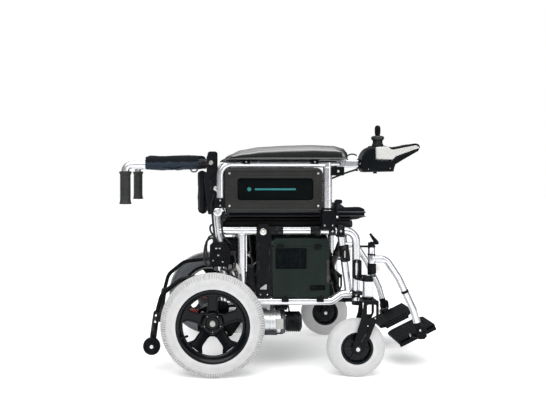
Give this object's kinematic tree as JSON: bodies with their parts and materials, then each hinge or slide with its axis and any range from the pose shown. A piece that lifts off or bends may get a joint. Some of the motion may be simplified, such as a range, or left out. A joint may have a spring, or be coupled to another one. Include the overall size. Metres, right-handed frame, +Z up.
{
  "type": "folding power wheelchair",
  "caption": "Folding power wheelchair with gear motors, joystick, flip-up armrests, swing-away legrests, casters and a fold-down back.",
  "frame": {"origin": "on the floor, under the middle of the overall box", "axes": "+X forward towards the toes, +Y to the rider's left, +Z up"},
  "size_m": [1.0024, 0.622, 0.7665],
  "materials": {
    "tyre": "light grey non-marking rubber",
    "rim": "black moulded nylon",
    "frame_tube": "bright silver lacquered tube",
    "black_steel": "black powder coat",
    "black_plastic": "fine textured black",
    "panel_plastic": "dark grey, satin",
    "light_plastic": "light grey, satin",
    "upholstery": "black nylon weave",
    "pad_skin": "black self-skinned polyurethane",
    "grip_rubber": "matt black",
    "lever_plastic": "red",
    "motor_metal": "silver painted casting"
  },
  "bodies": {
    "frame_left": {"antitip_bar_left": "black_steel", "battery_case_left": "black_plastic", "battery_lid_left": "black_plastic", "gear_motor_left": "motor_metal", "side_frame_left": "frame_tube"},
    "frame_right": {"antitip_bar_right": "black_steel", "back_upholstery_lower": "upholstery", "battery_case_right": "black_plastic", "battery_lid_right": "black_plastic", "gear_motor_right": "motor_metal", "joystick_cable_lower": "grip_rubber", "power_module": "black_plastic", "side_frame_right": "frame_tube"},
    "antitip_wheel_left": {"antitip_wheel_left": "grip_rubber"},
    "antitip_wheel_right": {"antitip_wheel_right": "grip_rubber"},
    "armrest_left": {"armrest_frame_left": "frame_tube", "armrest_pad_left": "pad_skin", "side_panel_left": "panel_plastic"},
    "armrest_right": {"armrest_frame_right": "frame_tube", "armrest_pad_right": "pad_skin", "joystick_base": "black_plastic", "joystick_cable_upper": "grip_rubber", "joystick_cover": "light_plastic", "side_panel_right": "panel_plastic"},
    "armrest_latch_left": {"armrest_latch_left": "black_plastic"},
    "armrest_latch_right": {"armrest_latch_right": "black_plastic"},
    "back_left": {"back_cane_left": "frame_tube", "push_grip_left": "grip_rubber"},
    "back_right": {"back_cane_right": "frame_tube", "back_upholstery_upper": "upholstery", "push_grip_right": "grip_rubber"},
    "caster_fork_left": {"caster_fork_left": "black_steel"},
    "caster_fork_right": {"caster_fork_right": "black_steel"},
    "caster_wheel_left": {"caster_hub_left": "rim", "caster_tyre_left": "tyre"},
    "caster_wheel_right": {"caster_hub_right": "rim", "caster_tyre_right": "tyre"},
    "clutch_left": {"clutch_lever_left": "lever_plastic"},
    "clutch_right": {"clutch_lever_right": "lever_plastic"},
    "brace_a": {"cross_brace_a": "black_steel", "cross_pivot_bolt": "black_steel", "seat_cushion": "upholstery", "seat_sling": "upholstery"},
    "brace_b": {"cross_brace_b": "black_steel"},
    "footplate_left": {"footplate_left": "black_plastic"},
    "footplate_right": {"footplate_right": "black_plastic"},
    "horn_button": {"horn_button": "panel_plastic"},
    "stick_gimbal": {"joystick_gimbal": "black_steel"},
    "stick": {"joystick_stick": "black_plastic"},
    "hanger_left": {"legrest_hanger_left": "frame_tube"},
    "hanger_right": {"legrest_hanger_right": "frame_tube"},
    "legrest_latch_left": {"legrest_latch_left": "black_plastic"},
    "legrest_latch_right": {"legrest_latch_right": "black_plastic"},
    "power_button": {"power_button": "panel_plastic"},
    "wheel_left": {"rim_left": "rim", "tyre_left": "tyre"},
    "wheel_right": {"rim_right": "rim", "tyre_right": "tyre"},
    "speed_rocker": {"speed_rocker": "panel_plastic"}
  },
  "joints": [
    {"name": "chair_fold", "type": "hinge", "parent": "frame_right", "child": "brace_a", "pos_m": [-0.2127, -0.188, 0.2195], "axis": [1, 0, 0], "range_deg": [0, 35], "deforming": ["seat_cushion", "seat_sling", "back_upholstery_lower", "back_upholstery_upper"]},
    {"name": "brace_cross", "type": "hinge", "parent": "brace_a", "child": "brace_b", "pos_m": [-0.2127, 0, 0.33925], "axis": [1, 0, 0], "range_deg": [-70, 0]},
    {"name": "brace_foot_left", "type": "hinge", "parent": "brace_b", "child": "frame_left", "pos_m": [-0.2127, 0.188, 0.2195], "axis": [1, 0, 0], "range_deg": [0, 35]},
    {"name": "wheel_spin_right", "type": "hinge", "parent": "frame_right", "child": "wheel_right", "pos_m": [-0.2127, -0.283, 0.159], "axis": [0, 1, 0], "continuous": true},
    {"name": "caster_swivel_right", "type": "hinge", "parent": "frame_right", "child": "caster_fork_right", "pos_m": [0.2613, -0.268, 0.2], "axis": [0, 0, 1], "continuous": true},
    {"name": "caster_spin_right", "type": "hinge", "parent": "caster_fork_right", "child": "caster_wheel_right", "pos_m": [0.2243, -0.268, 0.089], "axis": [0, 1, 0], "continuous": true},
    {"name": "antitip_spin_right", "type": "hinge", "parent": "frame_right", "child": "antitip_wheel_right", "pos_m": [-0.4007, -0.2335, 0.083], "axis": [0, 1, 0], "continuous": true},
    {"name": "clutch_turn_right", "type": "hinge", "parent": "frame_right", "child": "clutch_right", "pos_m": [-0.2127, -0.147, 0.171], "axis": [0, 1, 0], "range_deg": [0, 60]},
    {"name": "back_fold_right", "type": "hinge", "parent": "frame_right", "child": "back_right", "pos_m": [-0.2167, -0.213, 0.652], "axis": [0, 1, 0], "range_deg": [0, 85]},
    {"name": "armrest_flip_right", "type": "hinge", "parent": "frame_right", "child": "armrest_right", "pos_m": [-0.1967, -0.252, 0.5], "axis": [0, -1, 0], "range_deg": [0, 95]},
    {"name": "armrest_latch_turn_right", "type": "hinge", "parent": "frame_right", "child": "armrest_latch_right", "pos_m": [0.1673, -0.252, 0.486], "axis": [0, 1, 0], "range_deg": [0, 22], "stiffness_Nm_per_rad": 0.3},
    {"name": "legrest_swing_right", "type": "hinge", "parent": "frame_right", "child": "hanger_right", "pos_m": [0.2873, -0.208, 0.3], "axis": [0, 0, -1], "range_deg": [0, 82]},
    {"name": "legrest_latch_turn_right", "type": "hinge", "parent": "frame_right", "child": "legrest_latch_right", "pos_m": [0.2873, -0.208, 0.392], "axis": [0, 0, -1], "range_deg": [0, 35], "stiffness_Nm_per_rad": 0.3},
    {"name": "footplate_flip_right", "type": "hinge", "parent": "hanger_right", "child": "footplate_right", "pos_m": [0.4408, -0.188, 0.1055], "axis": [1, 0, 0], "range_deg": [0, 84]},
    {"name": "wheel_spin_left", "type": "hinge", "parent": "frame_left", "child": "wheel_left", "pos_m": [-0.2127, 0.283, 0.159], "axis": [0, 1, 0], "continuous": true},
    {"name": "caster_swivel_left", "type": "hinge", "parent": "frame_left", "child": "caster_fork_left", "pos_m": [0.2613, 0.268, 0.2], "axis": [0, 0, 1], "continuous": true},
    {"name": "caster_spin_left", "type": "hinge", "parent": "caster_fork_left", "child": "caster_wheel_left", "pos_m": [0.2243, 0.268, 0.089], "axis": [0, 1, 0], "continuous": true},
    {"name": "antitip_spin_left", "type": "hinge", "parent": "frame_left", "child": "antitip_wheel_left", "pos_m": [-0.4007, 0.2335, 0.083], "axis": [0, 1, 0], "continuous": true},
    {"name": "clutch_turn_left", "type": "hinge", "parent": "frame_left", "child": "clutch_left", "pos_m": [-0.2127, 0.147, 0.171], "axis": [0, 1, 0], "range_deg": [0, 60]},
    {"name": "back_fold_left", "type": "hinge", "parent": "frame_left", "child": "back_left", "pos_m": [-0.2167, 0.213, 0.652], "axis": [0, 1, 0], "range_deg": [0, 85]},
    {"name": "armrest_flip_left", "type": "hinge", "parent": "frame_left", "child": "armrest_left", "pos_m": [-0.1967, 0.252, 0.5], "axis": [0, -1, 0], "range_deg": [0, 95]},
    {"name": "armrest_latch_turn_left", "type": "hinge", "parent": "frame_left", "child": "armrest_latch_left", "pos_m": [0.1673, 0.252, 0.486], "axis": [0, 1, 0], "range_deg": [0, 22], "stiffness_Nm_per_rad": 0.3},
    {"name": "legrest_swing_left", "type": "hinge", "parent": "frame_left", "child": "hanger_left", "pos_m": [0.2873, 0.208, 0.3], "axis": [0, 0, 1], "range_deg": [0, 82]},
    {"name": "legrest_latch_turn_left", "type": "hinge", "parent": "frame_left", "child": "legrest_latch_left", "pos_m": [0.2873, 0.208, 0.392], "axis": [0, 0, 1], "range_deg": [0, 35], "stiffness_Nm_per_rad": 0.3},
    {"name": "footplate_flip_left", "type": "hinge", "parent": "hanger_left", "child": "footplate_left", "pos_m": [0.4408, 0.188, 0.1055], "axis": [1, 0, 0], "range_deg": [-84, 0]},
    {"name": "joystick_pitch", "type": "hinge", "parent": "armrest_right", "child": "stick_gimbal", "pos_m": [0.2953, -0.252, 0.695], "axis": [0, 1, 0], "range_deg": [-18, 18], "stiffness_Nm_per_rad": 0.25},
    {"name": "joystick_roll", "type": "hinge", "parent": "stick_gimbal", "child": "stick", "pos_m": [0.2953, -0.252, 0.695], "axis": [1, 0, 0], "range_deg": [-18, 18], "stiffness_Nm_per_rad": 0.25},
    {"name": "power_button_press", "type": "slide", "parent": "armrest_right", "child": "power_button", "axis": [0.1908, 0, -0.9816], "range_m": [0, 0.001], "stiffness_N_per_m": 600},
    {"name": "horn_button_press", "type": "slide", "parent": "armrest_right", "child": "horn_button", "axis": [0.1908, 0, -0.9816], "range_m": [0, 0.001], "stiffness_N_per_m": 600},
    {"name": "speed_rocker_tilt", "type": "hinge", "parent": "armrest_right", "child": "speed_rocker", "pos_m": [0.37658, -0.252, 0.70226], "axis": [0.9816, 0, 0.1908], "range_deg": [-4, 4], "stiffness_Nm_per_rad": 0.3}
  ],
  "couplings": [
    {"joint": "brace_cross", "follows": "chair_fold", "ratio": -2},
    {"joint": "brace_foot_left", "follows": "chair_fold", "ratio": 1},
    {"joint": "footplate_flip_right", "follows": "chair_fold", "ratio": 2.4},
    {"joint": "footplate_flip_left", "follows": "chair_fold", "ratio": -2.4},
    {"joint": "back_fold_left", "follows": "back_fold_right", "ratio": 1}
  ]
}
